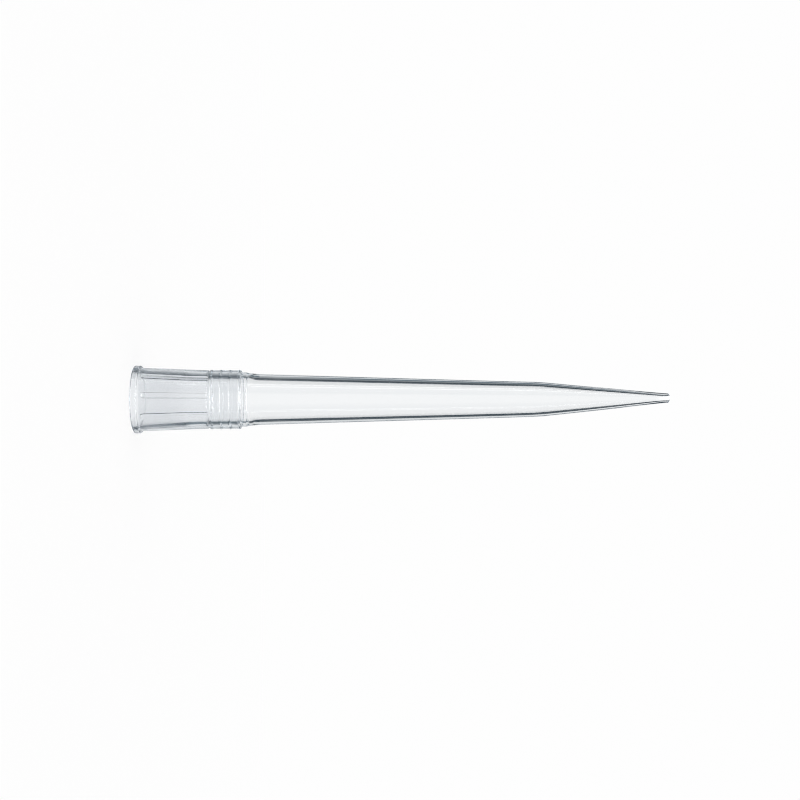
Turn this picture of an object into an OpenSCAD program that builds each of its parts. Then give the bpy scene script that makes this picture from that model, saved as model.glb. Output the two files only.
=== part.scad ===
// Pipette tip for a 1000 microlitre pipette: one thin-walled moulding in clear polypropylene.
// It stands on the wide end of its collar, and Z runs from that rim up to the point.
// All sizes are in millimetres and all angles in degrees.

/* [Overall] */
// Length of the tip, from the rim of the collar to the point
tip_len = 71.5; // [60:0.5:85]

/* [Seat for the pipette cone] */
// Diameter of the round seat that the pipette cone is pressed into
seat_d = 5.8; // [5.5:0.05:6.5]
// Length of the seat
seat_len = 5.2; // [4.5:0.1:6.5]
// Depth of the socket, from the rim to the start of the seat
seat_depth = 9.4; // [7:0.1:11]
// Step on each side from the seat out to the socket wall
seat_step = 0.11; // [0.11:0.01:0.2]
// Length of the cone that leads from the socket wall into the seat
lead_len = 0.3; // [0.1:0.05:1]

/* [Socket] */
// Length of the guide, the nearly straight part of the socket in front of the seat
guide_len = 2.3; // [1:0.1:4]
// Draft of the guide, on each side
guide_draft = 0.35; // [0.1:0.05:1]
// Draft of the entry, the wide cone between the mouth and the guide, on each side
entry_draft = 3.9; // [2:0.1:4.5]
// Bevel round the inside of the mouth, on each side
mouth_bevel = 0.1; // [0.05:0.01:0.2]
// Depth of the bevel at the mouth
mouth_bevel_len = 1.1; // [0.3:0.05:1.5]

/* [Collar] */
// Wall thickness of the collar at the end of the guide, where it is thickest
collar_wall = 0.8; // [0.7:0.05:1]
// Draft of the outside of the collar, on each side
collar_draft = 1.85; // [1:0.05:3]

/* [Flange] */
// How far the flange stands out from the collar
flange_out = 0.26; // [0.2:0.01:0.6]
// Thickness of the flange
flange_t = 0.8; // [0.6:0.02:1.5]
// Radius on the outer edge of the flange at the rim
flange_rim_r = 0.1; // [0.05:0.01:0.15]
// Radius on the outer edge of the flange at its back
flange_back_r = 0.18; // [0.1:0.01:0.18]

/* [Socket ribs] */
// Number of ribs along the socket wall
rib_count = 8; // [3:1:12]
// Width of a rib, as an angle round the axis
rib_arc = 11.5; // [5:0.5:18]
// Height of a rib above the socket wall
rib_h = 0.1; // [0.05:0.01:0.1]
// Length over which a rib rises out of the wall at the mouth
rib_lead = 0.5; // [0.2:0.05:1.5]

/* [Ring band] */
// Wall thickness of the band that backs the seat
band_wall = 0.93; // [0.8:0.01:1.1]
// Width of the groove between the collar and the band
groove_w = 0.25; // [0.15:0.01:0.4]
// Depth of the groove below the end of the collar
groove_depth = 0.08; // [0.04:0.01:0.15]
// Number of rings round the band
ring_count = 4; // [2:1:5]
// Width of a ring at its foot
ring_w = 0.26; // [0.2:0.01:0.3]
// Height of a ring above the band
ring_h = 0.05; // [0.03:0.01:0.08]
// Distance from each end of the band to the middle of the nearest ring
ring_margin = 0.17; // [0.17:0.01:0.4]

/* [Shoulder] */
// Length of the seat that lies past the band, under the shoulder
shoulder_lead = 1.2; // [0.8:0.05:1.6]
// Length of the shoulder, from the band to the shaft
shoulder_len = 2.2; // [1.2:0.1:3]
// Length of the upper step of the shoulder
upper_step_len = 0.65; // [0.4:0.05:0.9]
// Length of the slope that leads down to each step
step_slope = 0.14; // [0.05:0.01:0.25]
// How far the upper step stands out from the top of the shaft
upper_step_out = 0.21; // [0.2:0.01:0.35]
// How far the lower step stands out from the top of the shaft
lower_step_out = 0.13; // [0.05:0.01:0.18]

/* [Shaft] */
// Diameter of the shaft at the shoulder
shaft_top_d = 6.67; // [6.2:0.02:6.8]
// Diameter of the shaft where the point starts
shaft_end_d = 4.72; // [3.5:0.02:5.5]
// Wall thickness at the top of the shaft
shaft_top_wall = 0.68; // [0.5:0.02:0.8]
// Wall thickness at the end of the shaft
shaft_end_wall = 0.5; // [0.3:0.02:0.8]
// Length of the cone that leads from the seat into the bore of the shaft
funnel_len = 0.9; // [0.6:0.1:2.5]

/* [Point] */
// Length of the point, from the end of the shaft to the orifice
point_len = 18.05; // [12:0.05:25]
// Diameter of the point at its end
point_d = 1.3; // [1:0.02:1.8]
// Bore of the orifice
orifice_d = 0.62; // [0.3:0.02:0.8]
// Length of straight bore behind the orifice
orifice_len = 1; // [0.5:0.1:3]
// How far inside the shaft the bore starts to close towards the point
bore_lead = 0.85; // [0:0.05:2]
// Bevel on the end of the point
point_bevel = 0.06; // [0.03:0.01:0.1]

/* [Hidden] */

// Number of straight pieces in a quarter circle of the section
CURVE_STEPS = 8;
// How far one shape runs into or past another, so that they join or cut cleanly
OVERLAP = 0.05;
$fn = 96;

// Seat and socket
seat_r = seat_d / 2;
seat_end = seat_depth + seat_len;
guide_end = seat_depth - lead_len;
guide_end_r = seat_r + seat_step;
guide_start = guide_end - guide_len;
guide_start_r = guide_end_r + guide_len * tan(guide_draft);
rim_bore_r = socket_r(0) + mouth_bevel;

// Collar, flange and band
flange_r = collar_r(0) + flange_out;
collar_end = seat_depth - groove_w / 2;
groove_r = collar_r(collar_end) - groove_depth;
band_start = seat_depth + groove_w / 2;
band_end = seat_end - shoulder_lead;
band_r = seat_r + band_wall;
ring_pitch = (band_end - band_start - 2 * ring_margin) / (ring_count - 1);

// Shoulder, shaft and point
shaft_top_r = shaft_top_d / 2;
shaft_end_r = shaft_end_d / 2;
shaft_start = band_end + shoulder_len;
shaft_end = tip_len - point_len;
funnel_end = seat_end + funnel_len;
bore_top_r = shaft_top_r - shaft_top_wall;
bore_end_r = shaft_end_r - shaft_end_wall;
point_r = point_d / 2;
orifice_r = orifice_d / 2;

// Radius of the socket wall at a height above the rim
function socket_r(z) = z > guide_start
    ? guide_end_r + (guide_end - z) * tan(guide_draft)
    : guide_start_r + (guide_start - z) * tan(entry_draft);

// Radius of the outside of the collar at a height above the rim
function collar_r(z) = guide_end_r + collar_wall + (guide_end - z) * tan(collar_draft);

// Points of a quarter circle of radius r round a centre, from one angle to another
function quarter(centre, r, from, to) =
    [for (i = [0:CURVE_STEPS]) let (a = from + (to - from) * i / CURVE_STEPS)
        centre + r * [cos(a), sin(a)]];

// Corners of one ring round the band, a ridge with flanks at 45 degrees
function ring_corners(z) = [
    [band_r, z - ring_w / 2],
    [band_r + ring_h, z - ring_w / 2 + ring_h],
    [band_r + ring_h, z + ring_w / 2 - ring_h],
    [band_r, z + ring_w / 2]
];

// Outside of the tip, from the rim to the point, as a section to be turned round the axis
module outside_section() {
    rim_edge_r = flange_r - flange_rim_r;
    back_edge_r = flange_r - flange_back_r;
    upper_step_r = shaft_top_r + upper_step_out;
    lower_step_r = shaft_top_r + lower_step_out;
    upper_step_end = band_end + step_slope + upper_step_len;
    polygon(concat(
        [[0, 0]],
        quarter([rim_edge_r, flange_rim_r], flange_rim_r, -90, 0),
        quarter([back_edge_r, flange_t - flange_back_r], flange_back_r, 0, 90),
        [
            [collar_r(flange_t), flange_t],
            [collar_r(collar_end), collar_end],
            [groove_r, collar_end + groove_depth],
            [groove_r, band_start - groove_depth],
            [band_r, band_start]
        ],
        [for (i = [0:ring_count - 1])
            each ring_corners(band_start + ring_margin + i * ring_pitch)],
        [
            [band_r, band_end],
            [upper_step_r, band_end + step_slope],
            [upper_step_r, upper_step_end],
            [lower_step_r, upper_step_end + step_slope],
            [shaft_top_r, shaft_start],
            [shaft_end_r, shaft_end],
            [point_r, tip_len - point_bevel],
            [point_r - point_bevel, tip_len],
            [0, tip_len]
        ]
    ));
}

// Bore of the tip, from the mouth to the orifice, as a section to be turned round the axis
module bore_section() {
    polygon([
        [0, -OVERLAP],
        [rim_bore_r, -OVERLAP],
        [rim_bore_r, 0],
        [socket_r(mouth_bevel_len), mouth_bevel_len],
        [guide_start_r, guide_start],
        [guide_end_r, guide_end],
        [seat_r, seat_depth],
        [seat_r, seat_end],
        [bore_top_r, funnel_end],
        [bore_end_r, shaft_end - bore_lead],
        [orifice_r, tip_len - orifice_len],
        [orifice_r, tip_len + OVERLAP],
        [0, tip_len + OVERLAP]
    ]);
}

// One rib along the socket wall, from the bevel at the mouth until it runs out on the lead cone
module rib() {
    rib_start = mouth_bevel_len + rib_lead;
    rib_end = guide_end + rib_h / (seat_step / lead_len - tan(guide_draft));
    rotate([0, 0, -rib_arc / 2])
        rotate_extrude(angle = rib_arc)
            polygon([
                [socket_r(mouth_bevel_len), mouth_bevel_len],
                [socket_r(mouth_bevel_len) + OVERLAP, mouth_bevel_len],
                [guide_start_r + OVERLAP, guide_start],
                [socket_r(rib_end) + OVERLAP, rib_end],
                [socket_r(rib_end) - rib_h, rib_end],
                [guide_start_r - rib_h, guide_start],
                [socket_r(rib_start) - rib_h, rib_start]
            ]);
}

module tip() {
    color([0.86, 0.90, 0.93, 0.45])
    union() {
        difference() {
            rotate_extrude() outside_section();
            rotate_extrude() bore_section();
        }
        for (i = [0:rib_count - 1])
            rotate([0, 0, (i + 0.5) * 360 / rib_count]) rib();
    }
}

tip();
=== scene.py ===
# %% [markdown]
# # A clear pipette tip
# The real object is one thin moulding in clear polypropylene, 71.5 mm long. It has a wide
# collar with a flange, a band of fine rings, a stepped shoulder, a long shaft and a fine point.
# It is hollow from end to end, and the eye reads it almost only by its edges, where the wall
# bends the view. So this lesson spends its care on two things: a wall with true thickness
# inside and out, and a studio that gives the edges something dark to bend towards.
#
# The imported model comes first. It is the fixed frame, and everything is measured from it.

# %% Load the frame
import math

import bmesh
import bpy
from mathutils import Matrix, Vector


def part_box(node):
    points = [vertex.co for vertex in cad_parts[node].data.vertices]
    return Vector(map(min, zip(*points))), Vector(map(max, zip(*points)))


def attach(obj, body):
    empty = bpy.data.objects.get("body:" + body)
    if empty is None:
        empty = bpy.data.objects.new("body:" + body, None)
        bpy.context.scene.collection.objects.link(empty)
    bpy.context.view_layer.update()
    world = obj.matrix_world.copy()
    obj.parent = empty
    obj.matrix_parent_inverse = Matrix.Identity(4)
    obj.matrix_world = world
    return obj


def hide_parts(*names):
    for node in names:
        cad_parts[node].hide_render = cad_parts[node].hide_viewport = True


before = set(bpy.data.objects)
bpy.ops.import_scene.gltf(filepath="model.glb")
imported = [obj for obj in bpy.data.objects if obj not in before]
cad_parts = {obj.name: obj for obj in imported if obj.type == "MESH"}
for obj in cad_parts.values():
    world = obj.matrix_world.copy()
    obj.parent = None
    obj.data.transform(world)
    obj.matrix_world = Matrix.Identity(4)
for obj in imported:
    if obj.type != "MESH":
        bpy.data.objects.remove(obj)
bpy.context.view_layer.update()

MM = 0.001
scene = bpy.context.scene
tip_low, tip_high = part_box("tip")
tip_length = (tip_high.z - tip_low.z) / MM
print("The tip is %.2f mm long and %.2f mm wide" % (tip_length, (tip_high.x - tip_low.x) / MM))

# %% [markdown]
# ## The section of the moulding
# A turned shape is its section spun round an axis. The section could be drawn again here, number
# by number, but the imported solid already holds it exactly. So a copy of the solid is cut along
# the plane through its axis, and one side of the cut is kept: a closed outline of the wall.
# The copy is worked on in millimetres, because the merging distances are easier to choose there,
# and its loose triangles are merged first, because a cut needs faces that share their corners.

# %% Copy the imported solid
MERGE_SOLID = 0.0001

section = bmesh.new()
section.from_mesh(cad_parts["tip"].data)
bmesh.ops.scale(section, vec=(1 / MM, 1 / MM, 1 / MM), verts=section.verts)
bmesh.ops.remove_doubles(section, verts=section.verts, dist=MERGE_SOLID)
print("The solid has %d corners, and holds %.1f cubic mm" % (len(section.verts), section.calc_volume()))

# %% Cut it through its axis
ON_PLANE = 0.0001
MERGE_SECTION = 0.001
STRAIGHT_TURN = math.radians(0.15)

bmesh.ops.bisect_plane(
    section,
    geom=section.verts[:] + section.edges[:] + section.faces[:],
    dist=ON_PLANE,
    plane_co=(0, 0, 0),
    plane_no=(0, 1, 0),
    clear_inner=True,
    clear_outer=True,
)
far_half = [v for v in section.verts if v.co.x < 0]
bmesh.ops.delete(section, geom=far_half, context="VERTS")
bmesh.ops.remove_doubles(section, verts=section.verts, dist=MERGE_SECTION)
bmesh.ops.dissolve_limit(section, angle_limit=STRAIGHT_TURN, verts=section.verts, edges=section.edges)
open_ends = [v for v in section.verts if len(v.link_edges) != 2]
print("The section has %d corners and %d open ends" % (len(section.verts), len(open_ends)))

# %% [markdown]
# ## Rounded corners
# A mould is cut with round tools and polished by hand, so no corner on a moulding is quite
# sharp. On clear plastic that matters more than on anything else, because each rounded corner
# is a tiny lens that draws a bright or a dark line. Each corner of the outline is therefore
# bevelled into a short arc before it is spun. A sharp corner gets a small radius, and a gentle
# bend, as where the shaft meets the point, gets a long soft one. No arc may eat more than two
# fifths of the straight piece beside it.

# %% Round the corners of the section
SHARP_ROUND = 0.06
GENTLE_ROUND = 0.9
GENTLE_TURN = math.radians(25)
SMOOTH_TURN = math.radians(0.6)
LARGEST_SHARE = 0.4
SHARP_STEPS = 4
GENTLE_STEPS = 3


def turn_at(corner):
    ends = [e.other_vert(corner).co for e in corner.link_edges]
    return math.pi - (ends[0] - corner.co).angle(ends[1] - corner.co)


def bevel_corner(bm, corner, size, steps):
    bmesh.ops.bevel(
        bm,
        geom=[corner],
        offset=size,
        offset_type="OFFSET",
        segments=steps,
        profile=0.5,
        affect="VERTICES",
        clamp_overlap=True,
        material=-1,
    )


corners = []
for corner in section.verts:
    shortest = min(e.calc_length() for e in corner.link_edges)
    turn = turn_at(corner)
    limit = SHARP_ROUND if turn > GENTLE_TURN else GENTLE_ROUND
    if turn > SMOOTH_TURN:
        corners.append((corner, min(limit, LARGEST_SHARE * shortest), turn))

for corner, size, turn in corners:
    bevel_corner(section, corner, size, GENTLE_STEPS if turn < GENTLE_TURN else SHARP_STEPS)
print("%d corners rounded, the section now has %d points" % (len(corners), len(section.verts)))

# %% [markdown]
# ## Even rings along the long walls
# Smooth shading blends the direction of the surface from one ring of points to the next. On a
# wall 38 mm long with no ring between, the bend at one end would be smeared over the whole
# shaft. Short pieces of a few millimetres keep every bend where it belongs. The socket ribs,
# which come later, also need rings of points where they start, rise and end, so the outline is
# cut with a level plane at each of those heights first.

# %% Say where the ribs of the socket start and end
RIB_START = 1.1
RIB_HEIGHT = 0.1
RIB_LEAD = 0.5
GUIDE_END = 9.1
SEAT_START = 9.4
SEAT_STEP = 0.11
GUIDE_DRAFT = math.radians(0.35)
lead_slope = SEAT_STEP / (SEAT_START - GUIDE_END)
rib_end = GUIDE_END + RIB_HEIGHT / (lead_slope - math.tan(GUIDE_DRAFT))
print("The ribs run from %.2f to %.2f mm above the rim" % (RIB_START, rib_end))

# %% Divide the walls
LONGEST_PIECE = 2.5

for height in (RIB_START, RIB_START + RIB_LEAD / 2, RIB_START + RIB_LEAD, rib_end):
    bmesh.ops.bisect_plane(
        section,
        geom=section.verts[:] + section.edges[:],
        dist=ON_PLANE,
        plane_co=(0, 0, height),
        plane_no=(0, 0, 1),
    )

for edge in list(section.edges):
    pieces = math.ceil(edge.calc_length() / LONGEST_PIECE)
    if pieces > 1:
        bmesh.ops.subdivide_edges(section, edges=[edge], cuts=pieces - 1)
print("The section has %d points after dividing" % len(section.verts))

# %% [markdown]
# ## Soft rings round the band
# Four fine rings run round the band behind the collar. They come from grooves turned into the
# mould with a round-nosed tool, so each is a soft wave and not a ridge with flat flanks. On
# clear plastic that matters: a round ring is a lens all the way across, and it gathers light
# into a bright line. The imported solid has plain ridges, with few faces. Here the outline round
# each ring is divided finely, and its points are moved onto a wave of the same height. Where
# two sizes are compared, a slack of a hundredth of a millimetre allows for rounding.

# %% Find the rings in the section
RING_COUNT = 4
RING_FIRST = 9.695
RING_PITCH = 1.178
RING_WIDTH = 0.3
RING_HEIGHT = 0.05
BAND_RADIUS = 3.83
SLACK = 0.01

ring_heights = [RING_FIRST + i * RING_PITCH for i in range(RING_COUNT)]


def ring_near(point):
    return min(ring_heights, key=lambda height: abs(height - point.z))


def on_ring(point):
    return point.x > BAND_RADIUS - SLACK and abs(point.z - ring_near(point)) < RING_WIDTH / 2


print("The rings lie at", ", ".join("%.2f mm" % height for height in ring_heights))

# %% Round the rings
FINE_PIECE = 0.02

for edge in list(section.edges):
    middle = (edge.verts[0].co + edge.verts[1].co) / 2
    if on_ring(middle):
        cuts = math.ceil(edge.calc_length() / FINE_PIECE) - 1
        bmesh.ops.subdivide_edges(section, edges=[edge], cuts=max(cuts, 1))

for v in section.verts:
    if on_ring(v.co):
        wave = math.cos(math.pi * (v.co.z - ring_near(v.co)) / RING_WIDTH)
        v.co.x = BAND_RADIUS + RING_HEIGHT * wave * wave
print("The section has %d points with round rings" % len(section.verts))

# %% [markdown]
# ## Turn the section round the axis
# Spin with use_merge closes the ring, so the wall comes out as one shell with a true inside
# and outside. 192 steps leave flats of a seventh of a millimetre on the widest part, which
# the smooth shading hides. Spin can leave a shape inside out, so the doubles are merged and
# then the normals are worked out again, and the volume is printed as a test of both.

# %% Spin the wall
STEPS = 192
MERGE_WALL = 0.0005

wall = section
bmesh.ops.spin(
    wall,
    geom=wall.verts[:] + wall.edges[:],
    cent=(0, 0, 0),
    axis=(0, 0, 1),
    angle=2 * math.pi,
    steps=STEPS,
    use_merge=True,
)
bmesh.ops.remove_doubles(wall, verts=wall.verts, dist=MERGE_WALL)
bmesh.ops.recalc_face_normals(wall, faces=wall.faces)
print("The wall holds %.1f cubic mm in %d faces" % (wall.calc_volume(signed=True), len(wall.faces)))

# %% [markdown]
# ## Ribs in the socket
# Eight fine ribs run along the socket wall. They guide the pipette cone and stop it from
# jamming. They could be added as separate bars, but bars that only touch the wall would leave
# a hidden skin inside the plastic, and light bends at every skin. So strips of the wall itself
# are pushed inwards by a tenth of a millimetre, and the rib stays one body with the wall. At
# the mouth each rib rises out of the wall in a soft ramp, as it does where a round cutter has
# left the steel of the mould, and at the far end it runs out on the cone in front of the seat.

# %% Find the strips of wall that become ribs
RIB_COUNT = 8
RIB_ARC = math.radians(11.25)
FACING_AXIS = -0.5
pitch = 2 * math.pi / RIB_COUNT


def off_rib(point):
    angle = math.atan2(point.y, point.x) % pitch
    return abs(angle - pitch / 2)


def on_socket_wall(face):
    middle = face.calc_center_median()
    outward = Vector((middle.x, middle.y, 0)).normalized()
    return face.normal.dot(outward) < FACING_AXIS and RIB_START < middle.z < rib_end


socket_faces = [f for f in wall.faces if on_socket_wall(f)]
rib_faces = [f for f in socket_faces if off_rib(f.calc_center_median()) < RIB_ARC / 2]
print("%d faces lie on the ribs" % len(rib_faces))

# %% Push them inwards
grown = bmesh.ops.extrude_face_region(wall, geom=rib_faces)
bmesh.ops.delete(wall, geom=rib_faces, context="FACES")
for item in grown["geom"]:
    if isinstance(item, bmesh.types.BMVert) and item.co.z < rib_end - SLACK:
        inward = -Vector((item.co.x, item.co.y, 0)).normalized()
        rise = min(1, max(0, (item.co.z - RIB_START) / RIB_LEAD))
        item.co += inward * RIB_HEIGHT * rise * rise * (3 - 2 * rise)
bmesh.ops.remove_doubles(wall, verts=wall.verts, dist=MERGE_WALL)
bmesh.ops.recalc_face_normals(wall, faces=wall.faces)
loose_edges = [e for e in wall.edges if len(e.link_faces) != 2]
print("With ribs the wall holds %.1f cubic mm" % wall.calc_volume(signed=True))
print("%d edges are open or shared by too many faces" % len(loose_edges))

# %% [markdown]
# ## The bow of a long thin moulding
# A long thin moulding is still warm when it leaves the mould, and it warps a little as it cools.
# The thick end stays straight, for well over half of the length. From there to the point it
# bows by a fifth of a millimetre, far too little to measure with the eye, yet a perfectly
# straight one looks drawn. The bow goes sideways as the camera sees it, so the direction in
# which the camera looks is settled here. Each point is slid by the square of how far along the
# bow it lies, so that the bow starts without a kink.

# %% Bow the thin end
LOOK_TURN = 76.3  # degrees round from +X
BOW = 0.2
BOW_START = 42
bow_turn = math.radians(LOOK_TURN + 90)
bow_side = Vector((math.cos(bow_turn), math.sin(bow_turn), 0))

for v in wall.verts:
    along = max(0, (v.co.z - BOW_START) / (tip_length - BOW_START))
    v.co += bow_side * BOW * along * along

end_ring = [v.co for v in wall.verts if v.co.z > tip_length - SLACK]
end_middle = sum(end_ring, Vector()) / len(end_ring)
print("The middle of the point lies %.2f mm to the side" % bow_side.dot(end_middle))

# %% [markdown]
# ## From bmesh to a piece
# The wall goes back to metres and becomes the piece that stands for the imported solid. It is
# one moulding, so it is one object. Faces are shaded smooth, except across the few corners
# that are still crisp, such as the sides of the ribs.

# %% Make the piece
SHARP_ANGLE = math.radians(40)

bmesh.ops.scale(wall, vec=(MM, MM, MM), verts=wall.verts)
mesh = bpy.data.meshes.new("tip_wall")
wall.to_mesh(mesh)
wall.free()
tip_wall = bpy.data.objects.new("tip_wall", mesh)
scene.collection.objects.link(tip_wall)
mesh.shade_smooth()
mesh.set_sharp_from_angle(angle=SHARP_ANGLE)
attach(tip_wall, "root")
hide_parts("tip")
print("tip_wall has %d faces" % len(mesh.polygons))

# %% [markdown]
# ## Colours and nodes
# Colours are written as the hex codes that a colour picker shows, and one function turns them
# into the linear numbers that the renderer mixes with. A second function adds a node, with its
# settings and with what each of its inputs is plugged into or set to, so that a material can be
# read from top to bottom like a recipe.

# %% Colour and node helpers


def srgb(code):
    channels = [int(code[i:i + 2], 16) / 255 for i in (1, 3, 5)]
    linear = [c / 12.92 if c <= 0.04045 else ((c + 0.055) / 1.055) ** 2.4 for c in channels]
    return (linear[0], linear[1], linear[2], 1.0)


def add(tree, kind, inputs=None, **settings):
    node = tree.nodes.new(kind)
    for name, value in settings.items():
        setattr(node, name, value)
    for key, value in (inputs or {}).items():
        if isinstance(value, bpy.types.NodeSocket):
            tree.links.new(value, node.inputs[key])
        else:
            node.inputs[key].default_value = value
    return node


def new_material(name):
    material = bpy.data.materials.new(name)
    material.use_nodes = True
    material.node_tree.nodes.clear()
    return material


print("Mid grey #808080 is %.3f in linear light" % srgb("#808080")[0])

# %% [markdown]
# ## Clarified polypropylene
# The tip is injection-moulded in a clarified polypropylene. Its index of refraction is close to
# 1.49, nearly that of acrylic, so a wall less than a millimetre thick already bends the view
# strongly along its edges. It takes no paint and no print: all that the eye gets is the gloss
# of the mould, a faint cool cast where it looks through much plastic, and the small faults of
# moulding. Four of these are built here, one after the other, and then joined in one shader:
#
# 1. The finish of the mould, satin at the collar and a mirror polish from the shoulder on.
# 2. Flow marks, where the melt ran along the tip and froze in long faint streaks.
# 3. Turning marks, the finest of rings that the lathe left in the steel round the collar.
# 4. A cloudy haze, because polypropylene is partly crystalline and never as clear as glass.
#
# One material covers the whole moulding, although it has two finishes. A second material on the
# same closed wall would give the renderer a ray that enters one plastic and leaves another.

# %% Start the material and find the places on the tip
plastic = new_material("moulded_clear_polypropylene")
tree = plastic.node_tree
place = add(tree, "ShaderNodeTexCoord")
height = add(tree, "ShaderNodeSeparateXYZ", {"Vector": place.outputs["Object"]})
flat_place = add(tree, "ShaderNodeVectorMath", {
    0: place.outputs["Object"], 1: (1, 1, 0),
}, operation="MULTIPLY")
radius = add(tree, "ShaderNodeVectorMath", {0: flat_place.outputs["Vector"]}, operation="LENGTH")
mesh.materials.append(plastic)
print("The piece is made of", plastic.name)

# %% [markdown]
# ### The finish of the mould
# The mould is polished where liquid runs, so that no drop hangs back, and left a little duller
# round the collar. The change comes at the shoulder, within a quarter of a millimetre. The
# crest of each ring is polished too, because the tool that cuts a ring groove burnishes it, and
# there the tint of the band is left out: partly for the clearer burnished skin, and partly as a
# painted highlight that lightens the bright lines of the rings. A Map Range node turns a height
# or a radius in metres into a mask. Each pair of sizes says, in millimetres, where the mask is
# still 0 and where it has reached 1. On the rings it rises from a fifth to seven tenths of their
# height.

# %% Mask the polished places
POLISH_STARTS = (13.35, 13.6)
ENTRY_ENDS = (4.5, 6.8)
COLLAR_ENDS = (9.45, 9.55)
CREST_SHARES = (0.2, 0.7)

crest_radius = [BAND_RADIUS + share * RING_HEIGHT for share in CREST_SHARES]
shoulder_up = add(tree, "ShaderNodeMapRange", {
    0: height.outputs["Z"], 1: POLISH_STARTS[0] * MM, 2: POLISH_STARTS[1] * MM,
})
past_entry = add(tree, "ShaderNodeMapRange", {
    0: height.outputs["Z"], 1: ENTRY_ENDS[0] * MM, 2: ENTRY_ENDS[1] * MM,
})
past_collar = add(tree, "ShaderNodeMapRange", {
    0: height.outputs["Z"], 1: COLLAR_ENDS[0] * MM, 2: COLLAR_ENDS[1] * MM,
})
on_crest = add(tree, "ShaderNodeMapRange", {
    0: radius.outputs["Value"], 1: crest_radius[0] * MM, 2: crest_radius[1] * MM,
})
# The ring tops are polished, and the same mask takes the tint off them: a painted highlight that
# lightens the ring lines.
crest_polish_and_highlight = add(tree, "ShaderNodeMath", {
    0: past_collar.outputs[0], 1: on_crest.outputs[0],
}, operation="MULTIPLY")
polish = add(tree, "ShaderNodeMath", {
    0: shoulder_up.outputs[0], 1: crest_polish_and_highlight.outputs[0],
}, operation="MAXIMUM")
print("The polish starts %.2f mm above the rim" % POLISH_STARTS[0])

# %% [markdown]
# ### Flow marks
# The melt enters at one end and runs along the tip, so its marks are long and narrow: a third
# of a millimetre across and some fourteen millimetres long. A noise texture gives them once its
# space is squeezed to that shape. A noise of scale 1 changes about once in a metre, so one small
# function says how many marks of a size in millimetres fit in a metre. The slopes are tiny, but
# clear plastic shows them, because they make the dark lines along its edges waver.

# %% Stretch a noise along the tip
STREAK_WIDTH = 1 / 3
STREAK_LENGTH = 100 / 7


def per_metre(size):
    return 1 / (size * MM)


streaks_across = per_metre(STREAK_WIDTH)
streaks_along = per_metre(STREAK_LENGTH)
flow_place = add(tree, "ShaderNodeMapping", {
    "Vector": place.outputs["Object"], "Scale": (streaks_across, streaks_across, streaks_along),
})
flow = add(tree, "ShaderNodeTexNoise", {
    "Vector": flow_place.outputs[0],
    "Scale": 1.0,
    "Detail": 2.0,
    "Roughness": 0.45,
})
print("Flow marks: %.0f to the metre across and %.0f along" % (streaks_across, streaks_along))

# %% [markdown]
# ### Turning marks
# The collar's part of the mould is turned on a lathe and only lightly polished. Its marks are
# rings a few hundredths of a millimetre apart. That is too fine to show, so they are drawn
# about a sixth of a millimetre apart, as coarse as they need to be to show. The noise is made
# to vary along the height only, by leaving out the other two directions.

# %% Make fine rings round the collar
MARK_PITCH = 1 / 6

turned_place = add(tree, "ShaderNodeMapping", {
    "Vector": place.outputs["Object"], "Scale": (0, 0, per_metre(MARK_PITCH)),
})
turned = add(tree, "ShaderNodeTexNoise", {
    "Vector": turned_place.outputs[0],
    "Scale": 1.0,
    "Detail": 1.0,
    "Roughness": 0.5,
})
satin = add(tree, "ShaderNodeMath", {0: 1.0, 1: polish.outputs[0]}, operation="SUBTRACT")
turned_collar = add(tree, "ShaderNodeMath", {
    0: turned.outputs[0], 1: satin.outputs[0],
}, operation="MULTIPLY")
print("The turning marks lie %.2f mm apart" % MARK_PITCH)

# %% [markdown]
# ### Haze
# Polypropylene is partly crystalline. Where it cooled more slowly it grew slightly cloudier, in
# soft patches a few millimetres across. The patches change the roughness only a little, and
# the tint of the collar by a step or two of a colour picker. The entry of the socket is the
# dullest place, because nothing is sealed there, and the seat is finer. Each finish has two
# roughnesses, for its clearest and its cloudiest place. The noise runs from one to the other
# between CLOUD_LOW and CLOUD_HIGH, and is held at the ends beyond them.

# %% Make soft cloudy patches
PATCH_WIDTH = 20 / 7
PATCH_LENGTH = 6.25
CLOUD_LOW = 0.35
CLOUD_HIGH = 0.65
FINISHES = {"polished": (0.0, 0.004), "seat": (0.05, 0.06), "entry": (0.11, 0.13)}

patches_across = per_metre(PATCH_WIDTH)
patches_along = per_metre(PATCH_LENGTH)
cloud_place = add(tree, "ShaderNodeMapping", {
    "Vector": place.outputs["Object"], "Scale": (patches_across, patches_across, patches_along),
})
cloud = add(tree, "ShaderNodeTexNoise", {
    "Vector": cloud_place.outputs[0],
    "Scale": 1.0,
    "Detail": 3.0,
    "Roughness": 0.55,
})
rough_on = {}
for finish, (clearest, cloudiest) in FINISHES.items():
    patches = add(tree, "ShaderNodeMapRange", {
        0: cloud.outputs[0], 1: CLOUD_LOW, 2: CLOUD_HIGH, 3: clearest, 4: cloudiest,
    })
    rough_on[finish] = patches.outputs[0]
rough_satin = add(tree, "ShaderNodeMix", {
    0: past_entry.outputs[0], 2: rough_on["entry"], 3: rough_on["seat"],
})
rough = add(tree, "ShaderNodeMix", {
    0: polish.outputs[0], 2: rough_satin.outputs[0], 3: rough_on["polished"],
})
print("The plastic has %d finishes" % len(FINISHES))

# %% [markdown]
# ### The shader
# The Principled shader with full transmission is clear plastic: it reflects at its surface and
# bends what passes through. Its base colour tints the light at each skin that the light goes
# through, so a colour close to white is enough. The cool cast of the depth is another matter:
# it grows with the length of the way through plastic, which is what the volume socket is for.
# The two bumps go into each other, so their slopes add up. The band is tinted a shade deeper
# than the collar, because its thick wall holds more of the haze.
#
# A satin surface also scatters a little light in all directions, like breath on a window. A
# thin veil of matt white over the satin places stands for that. It takes six hundredths of
# the surface at the entry and fades to a quarter of that at the seat.

# %% Join the finish
STREAK_DEPTH = 0.0008
MARK_DEPTH = 0.0002
VEIL_AT_ENTRY = 0.06
VEIL_AT_SEAT = 0.015

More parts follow.
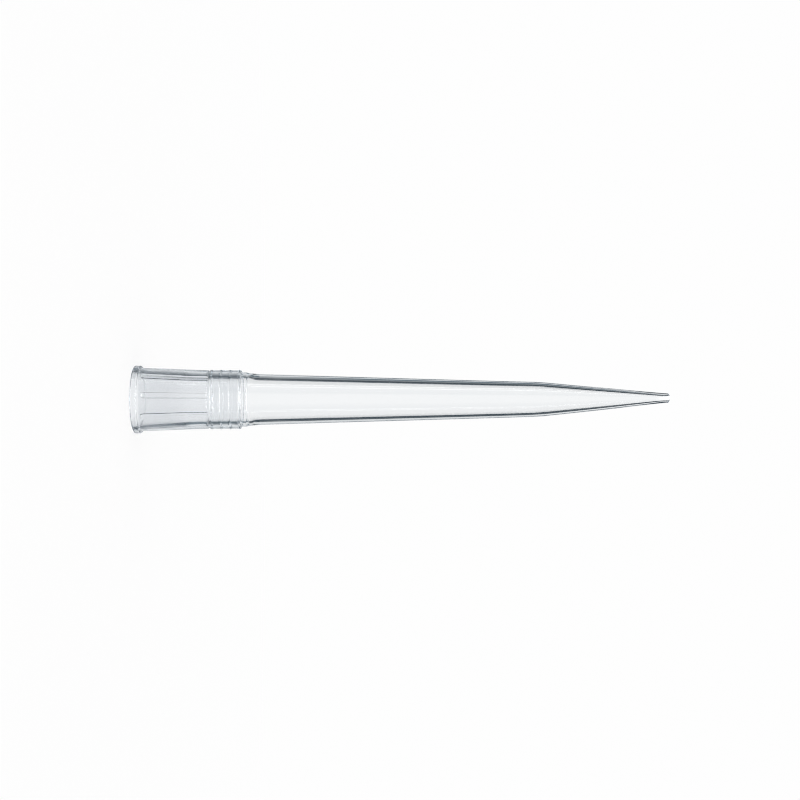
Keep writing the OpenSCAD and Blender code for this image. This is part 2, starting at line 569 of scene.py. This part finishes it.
streaks = add(tree, "ShaderNodeBump", {
    "Strength": 1.0,
    "Distance": STREAK_DEPTH * MM,
    "Height": flow.outputs[0],
})
skin = add(tree, "ShaderNodeBump", {
    "Strength": 1.0,
    "Distance": MARK_DEPTH * MM,
    "Height": turned_collar.outputs[0],
    "Normal": streaks.outputs[0],
})
collar_tint = add(tree, "ShaderNodeMix", {
    "Factor": cloud.outputs[0],
    6: srgb("#F8F9FA"),
    7: srgb("#FAFAFB"),
}, data_type="RGBA")
band_tint = add(tree, "ShaderNodeMix", {
    "Factor": past_collar.outputs[0],
    6: collar_tint.outputs[2],
    7: srgb("#F7F8F9"),
}, data_type="RGBA")
# Where the mask is full the tint is white: clear polished plastic from the shoulder on, and a painted
# highlight on the ring tops.
tint = add(tree, "ShaderNodeMix", {
    "Factor": polish.outputs[0],
    6: band_tint.outputs[2],
    7: srgb("#FFFFFF"),
}, data_type="RGBA")
body = add(tree, "ShaderNodeBsdfPrincipled", {
    "Base Color": tint.outputs[2],
    "Roughness": rough.outputs[0],
    "Normal": skin.outputs[0],
    "IOR": 1.49,
    "Transmission Weight": 1.0,
})
veil = add(tree, "ShaderNodeBsdfDiffuse", {"Color": srgb("#DFE6EE")})
veil_share = add(tree, "ShaderNodeMapRange", {
    0: past_entry.outputs[0], 3: VEIL_AT_ENTRY, 4: VEIL_AT_SEAT,
})
satin_veil = add(tree, "ShaderNodeMath", {
    0: veil_share.outputs[0], 1: satin.outputs[0],
}, operation="MULTIPLY")
milky = add(tree, "ShaderNodeMixShader", {
    0: satin_veil.outputs[0], 1: body.outputs["BSDF"], 2: veil.outputs[0],
})
depth = add(tree, "ShaderNodeVolumeAbsorption", {"Color": srgb("#B0D4EC"), "Density": 18.0})
add(tree, "ShaderNodeOutputMaterial", {"Surface": milky.outputs[0], "Volume": depth.outputs[0]})
print("The plastic has %d nodes" % len(tree.nodes))

# %% [markdown]
# ## What clear plastic shows
# A clear part has hardly any colour of its own. It shows its surroundings, and it shows them in
# three ways, which the Light Path node can tell apart:
#
# 1. Beside the tip the camera looks at the room itself. That should be plain white.
# 2. Through the thin walls it sees the screen, bent by a few degrees. The steps and rings bend
#    it more, and there it sees the ceiling and the paper.
# 3. Near its edges the wall acts as a mirror. A ray goes in, is thrown back by the inner skin,
#    and leaves far to the side. This is total internal reflection, and it draws the dark and
#    bright lines that run along the whole tip.
#
# A studio for glassware uses the third way on purpose. Dark and bright cards stand round the
# piece, just out of view, and the edges draw themselves. The same is done here. The cards stand
# in the world, so they have a direction and no distance, and only rays that have been reflected
# at least once can see them: their Glossy Depth is above a half. Rays that only pass through
# the walls see the screen instead.

# %% Directions round the tip


def look_round(tree, direction):
    split = add(tree, "ShaderNodeSeparateXYZ", {"Vector": direction})
    turn = add(tree, "ShaderNodeMath", {
        0: split.outputs["Y"], 1: split.outputs["X"],
    }, operation="ARCTAN2")
    degrees = add(tree, "ShaderNodeMath", {0: turn.outputs[0]}, operation="DEGREES")
    from_behind = add(tree, "ShaderNodeMath", {0: degrees.outputs[0], 1: -LOOK_TURN}, operation="ADD")
    wrapped = add(tree, "ShaderNodeMath", {
        0: from_behind.outputs[0], 1: 180.0, 2: -180.0,
    }, operation="WRAP")
    lift = add(tree, "ShaderNodeMath", {0: split.outputs["Z"]}, operation="ARCSINE")
    tilt = add(tree, "ShaderNodeMath", {0: lift.outputs[0]}, operation="DEGREES")
    return wrapped.outputs[0], tilt.outputs[0]


print("Straight behind the tip is at %.1f degrees round from +X" % LOOK_TURN)

# %% [markdown]
# ## The studio
# The light is an even pale room, a white screen behind the tip, and a set of cards. Every card
# is one line in a list, placed one by one and moved until the edges drew as they should. Its
# middle is given in degrees round from straight behind the tip, and its foot and top in degrees
# above the horizon. The fifth number says how far its upright edges fade, to either side of
# where they stand. A brightness of 1 is white, and more than 1 gives light like a lamp.
#
# - The screen ends some 28 degrees round on one side. The wall bends the view that far only in
#   its last tenth of a millimetre beside the bore, so the dark beyond the end of the screen
#   becomes a hair-thin line along the inside of the wall.
# - Dark cards stand at both sides. The mirror in the wall finds them next to that line. One
#   side is wider than the other, so the upper edge is a broad band and the lower one is thin.
# - The collar looks down by a few degrees and the shaft looks up, so a card that is lighter
#   down low gives the collar softer edges than the shaft.
#
# Dark cards have a price. Seen from where a dark end of the screen stands straight behind the
# tip, most of the shaft turns dark grey. There are two such directions.
#
# Grey card and black velvet in a white room are never quite neutral. The darker the place, the
# bluer it is, and one small function gives each brightness its cool grey.

# %% Say how bright the room and the screen are
ROOM = 0.87
SCREEN = 0.94
RED_POWER = 1.15
BLUE_POWER = 0.91


def cool_grey(brightness):
    if brightness >= 1:
        return (brightness, brightness, brightness, 1)
    return (brightness ** RED_POWER, brightness, brightness ** BLUE_POWER, 1)


print("A card of brightness 0.5 has the colour", ["%.2f" % c for c in cool_grey(0.5)[:3]])

# %% Place the cards round the tip
# Each card: middle, half of the width, foot, top, softness of the upright edges, brightness.
CARDS = [
    (0, 100, 22, 90, 10, 1.0),        # open ceiling behind the tip
    (70, 32, -40, -1, 22, 0.1),       # wide card on one side, low: the upper edge of the collar
    (66, 34, -3, 34, 26, 0.04),       # the same side, higher: the upper edge of the shaft
    (28, 10, 1, 34, 4, 0.2),          # narrow card in front of it: the second line of that edge
    (2, 6, -40, -2, 2, 0.4),          # thin bar straight behind, grey down low
    (2, 6, -2, 34, 2, 0.12),          # and darker higher up: the outermost hair line
    (-62, 18, -40, 4, 4, 0.22),       # narrow card on the other side: the lower edge of the collar
    (-56, 24, -3, 34, 5, 0.05),       # the same side, higher: the lower edge of the shaft
    (109, 2, -12, 30, 1, 3.5),        # slim strip lamp: the faint streak along the shaft
    (135, 16, -40, 34, 6, 0.55),      # grey card on the camera side, for views from behind
    (-128, 16, -40, 34, 6, 0.55),     # a second one on the other side
    (180, 62, 38, 90, 10, 10.0),      # soft lamp high above the camera: the flashes on the rings
]

print("%d cards stand round the tip" % len(CARDS))

# %% Place the ends of the screen
# The same six numbers, for light that only passes through the walls.
SCREEN_CARDS = [
    (0, 180, 32, 90, 10, 1.1),        # the ceiling
    (0, 180, -90, -18, 10, 0.88),     # the paper below, a little duller: flanks of the rings
    (42, 14, -12, 18, 4, 0.05),       # sharp dark end of the screen on one side
    (-52, 12, -14, 18, 12, 0.03),     # soft dark end on the other side
    (142, 9, -20, 18, 6, 0.55),       # pale ends of a second screen, for views from behind
    (-134, 9, -20, 18, 6, 0.55),
]

print("%d cards make the screen" % len(SCREEN_CARDS))

# %% [markdown]
# ## The world
# One function lays a card over what is already there. Three Map Range nodes with smooth ends
# say how far a direction lies inside the card: sideways, above its foot and below its top.
# Their product is the share of the card in the mix. The wrap and the absolute value bring a
# difference of 350 degrees back to 10. The camera's own rays see neither screen nor card, only
# plain white, so the tip lies on white.

# %% Lay one card over another
FOOT_AND_TOP_EDGE = 4.0


def lay_card(tree, under, turn, tilt, card):
    middle, half, foot, top, edge, brightness = card
    off = add(tree, "ShaderNodeMath", {0: turn, 1: middle}, operation="SUBTRACT")
    wrapped = add(tree, "ShaderNodeMath", {
        0: off.outputs[0], 1: 180.0, 2: -180.0,
    }, operation="WRAP")
    away = add(tree, "ShaderNodeMath", {0: wrapped.outputs[0]}, operation="ABSOLUTE")
    sideways = add(tree, "ShaderNodeMapRange", {
        0: away.outputs[0], 1: half - edge, 2: half + edge, 3: 1.0, 4: 0.0,
    }, interpolation_type="SMOOTHSTEP")
    over_foot = add(tree, "ShaderNodeMapRange", {
        0: tilt, 1: foot - FOOT_AND_TOP_EDGE, 2: foot + FOOT_AND_TOP_EDGE,
    }, interpolation_type="SMOOTHSTEP")
    under_top = add(tree, "ShaderNodeMapRange", {
        0: tilt, 1: top - FOOT_AND_TOP_EDGE, 2: top + FOOT_AND_TOP_EDGE, 3: 1.0, 4: 0.0,
    }, interpolation_type="SMOOTHSTEP")
    upright = add(tree, "ShaderNodeMath", {
        0: over_foot.outputs[0], 1: under_top.outputs[0],
    }, operation="MULTIPLY")
    share = add(tree, "ShaderNodeMath", {
        0: sideways.outputs[0], 1: upright.outputs[0],
    }, operation="MULTIPLY")
    mixed = add(tree, "ShaderNodeMix", {
        "Factor": share.outputs[0],
        6: under,
        7: cool_grey(brightness),
    }, data_type="RGBA")
    return mixed.outputs[2]


def lay_all(tree, brightness, turn, tilt, stack):
    colour = cool_grey(brightness)
    for card in stack:
        colour = lay_card(tree, colour, turn, tilt, card)
    return colour


print("A card fades over %.0f degrees at its foot and its top" % (2 * FOOT_AND_TOP_EDGE))

# %% Build the world
WHITE = 0.99

world = bpy.data.worlds.new("studio")
scene.world = world
world.use_nodes = True
tree = world.node_tree
tree.nodes.clear()
place = add(tree, "ShaderNodeTexCoord")
turn, tilt = look_round(tree, place.outputs["Generated"])
path = add(tree, "ShaderNodeLightPath")
reflected = add(tree, "ShaderNodeMath", {
    0: path.outputs["Glossy Depth"], 1: 0.5,
}, operation="GREATER_THAN")
card_colour = lay_all(tree, ROOM, turn, tilt, CARDS)
cards = add(tree, "ShaderNodeBackground", {"Color": card_colour, "Strength": 1.0})
screen_colour = lay_all(tree, SCREEN, turn, tilt, SCREEN_CARDS)
screen = add(tree, "ShaderNodeBackground", {"Color": screen_colour, "Strength": 1.0})
room = add(tree, "ShaderNodeBackground", {"Color": (WHITE, WHITE, WHITE, 1), "Strength": 1.0})
on_tip = add(tree, "ShaderNodeMixShader", {
    0: reflected.outputs[0], 1: screen.outputs[0], 2: cards.outputs[0],
})
seen_in_tip = add(tree, "ShaderNodeMath", {
    0: path.outputs["Is Glossy Ray"],
    1: path.outputs["Is Transmission Ray"],
}, operation="MAXIMUM")
both = add(tree, "ShaderNodeMixShader", {
    0: seen_in_tip.outputs[0], 1: room.outputs[0], 2: on_tip.outputs[0],
})
add(tree, "ShaderNodeOutputWorld", {"Surface": both.outputs[0]})
print("The world has %d nodes" % len(tree.nodes))

# %% [markdown]
# ## The floor
# The tip stands on a round sheet of matt white paper. For the camera the paper is a mix of its
# own glow and a matt shader: the glow keeps it as white as the room, and the matt part catches
# the soft shadow round the foot of the tip. Rays from the tip pass through the paper, so the
# cards below the horizon draw their lines in the wall as well as those above it.

# %% Lay the paper
FLOOR_RADIUS = 0.4
MATT_SHARE = 0.2

sheet = bmesh.new()
bmesh.ops.create_circle(sheet, cap_ends=True, radius=FLOOR_RADIUS, segments=96)
floor_mesh = bpy.data.meshes.new("floor")
sheet.to_mesh(floor_mesh)
sheet.free()
floor = bpy.data.objects.new("floor", floor_mesh)
scene.collection.objects.link(floor)

paper = new_material("white_paper")
tree = paper.node_tree
path = add(tree, "ShaderNodeLightPath")
seen_in_tip = add(tree, "ShaderNodeMath", {
    0: path.outputs["Is Glossy Ray"],
    1: path.outputs["Is Transmission Ray"],
}, operation="MAXIMUM")
glow = add(tree, "ShaderNodeEmission", {"Color": (WHITE, WHITE, WHITE, 1), "Strength": 1.0})
matt = add(tree, "ShaderNodeBsdfDiffuse", {"Color": (WHITE, WHITE, WHITE, 1)})
plain = add(tree, "ShaderNodeMixShader", {0: MATT_SHARE, 1: glow.outputs[0], 2: matt.outputs[0]})
clear = add(tree, "ShaderNodeBsdfTransparent")
both = add(tree, "ShaderNodeMixShader", {
    0: seen_in_tip.outputs[0], 1: plain.outputs[0], 2: clear.outputs[0],
})
add(tree, "ShaderNodeOutputMaterial", {"Surface": both.outputs[0]})
floor_mesh.materials.append(paper)
print("The paper reaches %.0f mm from the tip" % (FLOOR_RADIUS / MM))

# %% [markdown]
# ## The camera
# The camera lies on its side, so the tip lies across two thirds of the picture with its rim on
# the left. It stands close, lower than the middle of the tip, and is tilted up by a few
# degrees, so it looks down on the collar and up at the point. Its three axes are worked out
# from one direction and put into a matrix, because that leaves no doubt about which way is up.

# %% Place the camera
LOOK_UP = math.radians(6.5)
DISTANCE = 115.85
AIM_HEIGHT = 34.26
AIM_DOWN = 0.066

camera_data = bpy.data.cameras.new("camera")
camera_data.lens = 39.15
camera_data.sensor_width = 36
camera_data.clip_start = 0.001
camera = bpy.data.objects.new("camera", camera_data)
scene.collection.objects.link(camera)
scene.camera = camera

look_turn = math.radians(LOOK_TURN)
look = Vector((
    math.cos(look_turn) * math.cos(LOOK_UP),
    math.sin(look_turn) * math.cos(LOOK_UP),
    math.sin(LOOK_UP),
))
across = Vector((
    -math.sin(LOOK_UP) * math.cos(look_turn),
    -math.sin(LOOK_UP) * math.sin(look_turn),
    math.cos(LOOK_UP),
))
up = Vector((-math.sin(look_turn), math.cos(look_turn), 0))
aim = Vector((0, 0, AIM_HEIGHT * MM)) - up * AIM_DOWN * MM
pose = Matrix((across, up, -look)).transposed().to_4x4()
pose.translation = aim - look * DISTANCE * MM
camera.matrix_world = pose
print("The camera stands %.0f mm from the tip, %.0f mm up" % (DISTANCE, pose.translation.z / MM))

# %% [markdown]
# ## Light paths and view
# A ray may cross the four skins of the tube many times before it gets out, so it is given more
# turns than usual. The filter that smooths the picture is a little narrower than usual, which
# keeps the hair-thin lines thin. The view transform is Standard, so that a colour comes out as
# it was written.

# %% Set the light paths and the view
scene.cycles.filter_width = 1.0
scene.cycles.max_bounces = 24
scene.cycles.glossy_bounces = 16
scene.cycles.transmission_bounces = 24
scene.view_settings.view_transform = "Standard"
print("A ray may turn %d times" % scene.cycles.max_bounces)
